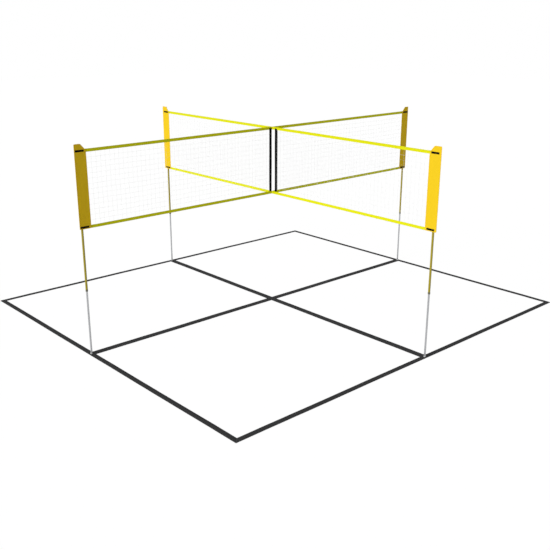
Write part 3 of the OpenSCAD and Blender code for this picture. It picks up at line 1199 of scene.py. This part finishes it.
@dataclass
class SidePanel:
    """The cloth panel at a net's ends: bound edge, pole pocket, two straps and their stitching."""

    ends: tuple[End, End]
    hem: float = 0.010
    hem_seam: float = 0.0022
    binding: float = 0.0006
    corner: float = 0.0115
    tuck: float = 0.004
    slope_run: float = 0.066
    slope: float = 0.075
    cloth: float = 0.002
    front: float = -0.020
    seam: float = 0.022
    seam_out: float = 0.0025
    pocket: float = 0.0134
    pocket_cloth: float = 0.0012
    pocket_drop: float = 0.006
    flange: float = 0.005
    strap_radius: float = 0.0149
    strap_thick: float = 0.0018
    slot_room: float = 0.0003
    patch: float = 0.020
    patch_in: float = 0.006
    patch_edge: float = 0.003
    pocket_row: tuple[float, float] = (0.002, 0.006)
    slot_row: float = 0.001
    cutter_past: float = 0.003
    rim_edge: float = 0.0009
    pocket_edge: float = 0.0004
    strap_edge: float = 0.0005
    by_strap: float = 0.02
    wave: float = 0.0011
    slack: float = 0.0016
    stitches: Stitches = Stitches(pitch=0.0045, length=0.0033, width=0.0006)

    def __post_init__(self) -> None:
        """Reads the places of the panel and of its straps, in the pole's frame."""
        end = self.ends[0]
        self.low, self.high = end.box(end.node("side_panel"))
        node = end.node("panel_straps")
        straps, mesh = end.box(node), bpy.data.objects[node].data
        self.strap_left, self.strap_right = straps[0].x, straps[1].x
        middle = (straps[0].z + straps[1].z) / 2
        levels = sorted({round(vertex.co.z, 4) for vertex in mesh.vertices})
        below, above = [z for z in levels if z < middle], [z for z in levels if z > middle]
        self.strap_levels = [(below[0], below[-1]), (above[0], above[-1])]
        self.face, self.back = self.front - self.cloth / 2, self.front + self.cloth / 2

    def corners(self, inset: float) -> list[tuple[float, float]]:
        """The panel's outline moved inward, as X and Z.

        Args:
            inset: how far in.

        Returns:
            The five corners, from the lower inner one on.
        """
        low, high, run, rise = self.low, self.high, self.slope_run, self.slope
        lean = hypot(run, rise)
        return [
            (low.x + inset, low.z + inset), (high.x - inset, low.z + inset),
            (high.x - inset, high.z - inset),
            (low.x + run + inset * (lean - run) / rise, high.z - inset),
            (low.x + inset, high.z - rise - inset * (lean - rise) / run),
        ]

    def cut_slope(self, piece: Piece, inset: float, close: bool) -> None:
        """Cuts the sloping corner off a piece."""
        top, bottom = self.corners(inset)[3:]
        piece.trim((top[0], 0, top[1]), (bottom[1] - top[1], 0, top[0] - bottom[0]), close)

    def sheet(self) -> Piece:
        """The cloth inside the binding, with its ripples and the slots for the straps."""
        size, middle = self.high - self.low, (self.low + self.high) / 2
        cloth = Piece.start(
            bpy.ops.mesh.primitive_grid_add, "cloth", (size.x - 2 * self.tuck, size.z - 2 * self.tuck, 1),
            x_subdivisions=20, y_subdivisions=124, size=1,
            location=(middle.x, self.front, middle.z), rotation=(pi / 2, 0, 0),
        )
        self.cut_slope(cloth, self.tuck, close=False)
        cloth.shape(self.ripple).modify("SOLIDIFY", thickness=self.cloth, offset=0.0, use_even_offset=True)
        room, past = self.slot_room, self.cutter_past
        cutter = Piece.join("slots", *(
            Piece.block(
                "slot", (x - room, self.face - past, low - room),
                (x + self.strap_thick + room, self.back + past, high + room),
            )
            for low, high in self.strap_levels
            for x in (self.strap_left, self.strap_right - self.strap_thick)
        ))
        cloth.modify("BOOLEAN", object=cutter.item, operation="DIFFERENCE", solver="EXACT")
        cutter.discard()
        return cloth.smooth()

    def past_strap(self, z: float) -> float:
        """How far a height is from the edge of the nearer strap."""
        return min(abs(z - (low + high) / 2) for low, high in self.strap_levels) - self.by_strap

    def ripple(self, at: Vector) -> Vector:
        """Small waves in the cloth, calm by the straps, the seams and the binding.

        Args:
            at: the place of the vertex.

        Returns:
            How far the cloth is moved there.
        """
        low, high = self.low, self.high
        edge = min(at.x - low.x, high.x - at.x, at.z - low.z, high.z - at.z) - self.hem
        seam = abs(abs(at.x) - self.seam)
        calm = clamp(edge / 0.02) * clamp(self.past_strap(at.z) / 0.03) * clamp(seam / 0.012)
        wave = 0.6 * sin(9.0 * at.z + 20 * at.x) + 0.4 * sin(23.0 * at.z - 31 * at.x + 1)
        pucker = 0.25 * sin(240 * at.z) * clamp(1 - seam / 0.02)
        return Vector((0, self.wave * calm * (wave + pucker), 0))

    def rim(self) -> Piece:
        """The binding: a folded strip all round the panel."""
        low, high = self.low, self.high
        rim = Piece.block(
            "binding", (low.x, self.face - self.binding, low.z), (high.x, self.back + self.binding, high.z)
        )
        self.cut_slope(rim, 0, close=True)
        with rim.edit():
            rim.pick("EDGE", runs(Y))
            bpy.ops.mesh.bevel(offset=self.corner, segments=5, affect="EDGES", clamp_overlap=False)
            rim.pick("FACE", lambda face: abs(face.normal.y) > 0.99)
            bpy.ops.mesh.inset(thickness=self.hem, use_even_offset=True)
            bpy.ops.mesh.delete(type="FACE")
            rim.pick("EDGE", lambda edge: len(edge.link_faces) == 1)
            bpy.ops.mesh.bridge_edge_loops()
        rim.face_outward()
        for axis in (X, Z):
            rim.divide(axis, 24, least=0.5)
        return rim.round_off(self.rim_edge, steps=3).smooth()

    def pole_pocket(self) -> Piece:
        """The sleeve that the pole stands in, sewn to the back of the panel and closed at the top."""
        sleeve = Sleeve(
            radius=self.pocket, left=-self.seam, right=self.seam, sheet=self.back, thick=self.pocket_cloth,
            low=self.low.z + self.binding, high=self.high.z - self.pocket_drop - self.pocket_cloth,
        )
        pocket = sleeve.strip(flange=self.flange, roof=True, cuts=90)
        return pocket.shape(self.gather).round_off(self.pocket_edge).smooth()

    def gather(self, at: Vector) -> Vector:
        """Slack folds in the pocket's back, outward only, and none by the straps and its ends.

        Args:
            at: the place of the vertex.

        Returns:
            How far the pocket is moved there.
        """
        if at.y < self.back + 0.004:
            return Vector((0, 0, 0))
        ends = min(at.z - self.low.z, self.high.z - at.z) - self.by_strap
        calm = clamp(self.past_strap(at.z) / 0.04) * clamp(ends / 0.03)
        swell = 0.5 + 0.5 * sin(31 * at.z + 3 * atan2(at.y, at.x))
        return Vector((at.x, at.y, 0)).normalized() * (self.slack * calm * swell)

    def straps(self) -> Piece:
        """The two loops of webbing round the panel and its pocket."""
        thick = self.strap_thick
        loops = [
            Sleeve(
                radius=self.strap_radius, left=self.strap_left + thick, right=self.strap_right - thick,
                sheet=self.face, thick=thick, low=low, high=high,
            ).strip(closed=True)
            for low, high in self.strap_levels
        ]
        return Piece.join("straps", *loops).round_off(self.strap_edge).smooth()

    def panel_seams(self) -> Piece:
        """The stitching of the binding, the pocket and the slots."""
        rows, out, path = [], self.seam_out, self.stitches.path
        outline = self.corners(self.hem - self.hem_seam)
        foot, head = self.pocket_row
        heights = self.low.z + self.hem + foot, self.high.z - self.pocket_drop - head
        for way, hem_face, sheet_face in (
            (-1, self.face - self.binding, self.face),
            (1, self.back + self.binding, self.back + self.pocket_cloth),
        ):
            rows += path(outline, hem_face, way, closed=True)
            for x in (-self.seam - out, self.seam + out):
                rows += path([(x, z) for z in heights], sheet_face, way)
        for low, high in self.strap_levels:
            for x in (self.strap_left - out, self.strap_right + out):
                rows += path([(x, low - self.slot_row), (x, high + self.slot_row)], self.face, -1)
        return Piece.join("panel_seams", *rows)

    def strap_seams(self) -> Piece:
        """Boxes with a cross in them where each strap is sewn down."""
        rows, face, edge = [], self.face - self.strap_thick, self.patch_edge
        for low, high in self.strap_levels:
            for x in (self.strap_left + self.patch_in, self.strap_right - self.patch_in - self.patch):
                rows += self.stitches.box_cross((x, low + edge), (x + self.patch, high - edge), face, -1)
        return Piece.join("strap_seams", *rows)

    def build(self) -> Iterator[Item]:
        """One panel is modelled and copied to both ends of its net."""
        patterns = {
            "panel_cloth": (self.sheet(), PANEL, "panel_cloth", "side_panel"),
            "panel_binding": (self.rim(), BINDING, "panel_cloth", None),
            "panel_pocket": (self.pole_pocket(), PANEL, "panel_cloth", None),
            "panel_seams": (self.panel_seams(), PANEL_THREAD, "panel_cloth", None),
            "strap_loops": (self.straps(), STRAP, "strap_webbing", "panel_straps"),
            "strap_seams": (self.strap_seams(), STRAP_THREAD, "strap_webbing", None),
        }
        for end in self.ends:
            made = {}
            for name, (pattern, finish, slot, node) in patterns.items():
                piece = pattern.copy(end.node(name)).set_down(end.place())
                made[name] = piece.hand_over("net", finish, slot, end.node(node) if node else None)
                yield made[name]
            end.node("upper_tube")
        for pattern, *_ in patterns.values():
            pattern.discard()


class Hardware:
    """The tubes, locks, feet and caps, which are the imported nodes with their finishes."""

    finishes = {
        "foot": FOOT, "lower_tube": LOWER_TUBE, "guide_bush": CAP, "upper_tube": UPPER_TUBE,
        "lock_body": LOCK, "lock_ring": LOCK, "top_cap": CAP,
    }

    def build(self) -> Iterator[Item]:
        """Dresses each node that stays."""
        for part, finish in self.finishes.items():
            for end in End:
                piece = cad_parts[end.node(part)]
                finish.dress(piece)
                yield piece


@dataclass
class Studio:
    """Floor, light and camera."""

    sky: float = 0.27
    key: float = 0.815 * pi
    key_height: float = 25.0
    softness: float = 30.0
    floor_size: float = 80.0
    floor_drop: float = 0.0004
    floor_tone: float = 0.85
    floor_white: float = 0.86
    floor_over: float = 1.004
    lens: float = 51.216
    view: tuple[Spot, ...] = (
        (0.6718604, -0.2340728, 0.7027187, 7.7816),
        (0.7406730, 0.2089229, -0.6385567, -7.0102),
        (0.0026547, 0.9495057, 0.3137384, 3.8137),
        (0, 0, 0, 1),
    )

    def floor(self) -> None:
        """A wide pale floor that shows white and keeps a faint shadow."""
        floor = Piece.start(
            bpy.ops.mesh.primitive_plane_add, "studio_floor", size=self.floor_size,
            location=(0, 0, -self.floor_drop),
        ).item
        material = bpy.data.materials.new("studio_floor")
        shader = Shader(material)
        shader.tree.nodes.remove(shader.surface)
        lit = self.floor_tone * (self.sky + self.key / pi * sin(radians(self.key_height)))
        glow = (1.0 - (1 - self.floor_white) * lit) / self.floor_white * self.floor_over
        pale = shader.node("BsdfDiffuse", {"Color": (self.floor_tone,) * 3})
        white = shader.node("Emission", {"Color": (1, 1, 1), "Strength": glow})
        mixed = shader.node("MixShader", {0: self.seen(shader) * self.floor_white, 1: pale, 2: white})
        shader.feed(shader.tree.nodes["Material Output"].inputs["Surface"], mixed)
        floor.data.materials.append(material)

    @staticmethod
    def seen(shader: Shader) -> Signal:
        """1 for rays from the camera, a mirror or glass."""
        camera = shader.node("LightPath", output="Is Camera Ray")
        mirror, glass = camera.output("Is Glossy Ray"), camera.output("Is Transmission Ray")
        return camera.larger(mirror).larger(glass)

    def world(self) -> None:
        """Even light from all round, and a white backdrop."""
        world = bpy.data.worlds.new("studio")
        bpy.context.scene.world = world
        shader = Shader(world)
        backdrop = shader.tree.nodes["Background"].inputs
        shader.feed(backdrop["Color"], (1, 1, 1))
        shader.feed(backdrop["Strength"], self.seen(shader) * (1 - self.sky) + self.sky)

    def sun(self) -> None:
        """One soft key light, square to the south side."""
        lamp = bpy.data.lights.new("key", "SUN")
        lamp.energy, lamp.angle = self.key, radians(self.softness)
        new_object("key", lamp).rotation_euler = (radians(90 - self.key_height), 0, 0)

    def camera(self) -> None:
        """The camera, at its place and turn over the court."""
        camera = bpy.data.cameras.new("camera")
        camera.sensor_width, camera.lens, camera.clip_end = 36.0, self.lens, 200.0
        holder = new_object("camera", camera)
        holder.matrix_world = Matrix(self.view)
        bpy.context.scene.camera = holder

    def build(self) -> None:
        """Sets up everything round the net."""
        self.floor()
        self.world()
        self.sun()
        self.camera()
        bpy.context.scene.view_settings.view_transform = "Standard"


def main() -> None:
    """Builds the studio and every piece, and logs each."""
    logging.basicConfig(level=logging.INFO, format="%(message)s")
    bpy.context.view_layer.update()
    Studio().build()
    makers = [Court()]
    makers += [
        Tape(level, name, end) for level in Level
        for name, end in (("through", End.NORTH), ("east", End.EAST), ("west", End.WEST))
    ]
    makers += [NetWing(end) for end in End]
    makers += [SidePanel(ends) for ends in ((End.SOUTH, End.NORTH), (End.EAST, End.WEST))]
    makers += [Hardware()]
    for maker in makers:
        for piece in maker.build():
            log.info("%s: %d faces", piece.name, len(piece.data.polygons))


if __name__ == "__main__":
    main()
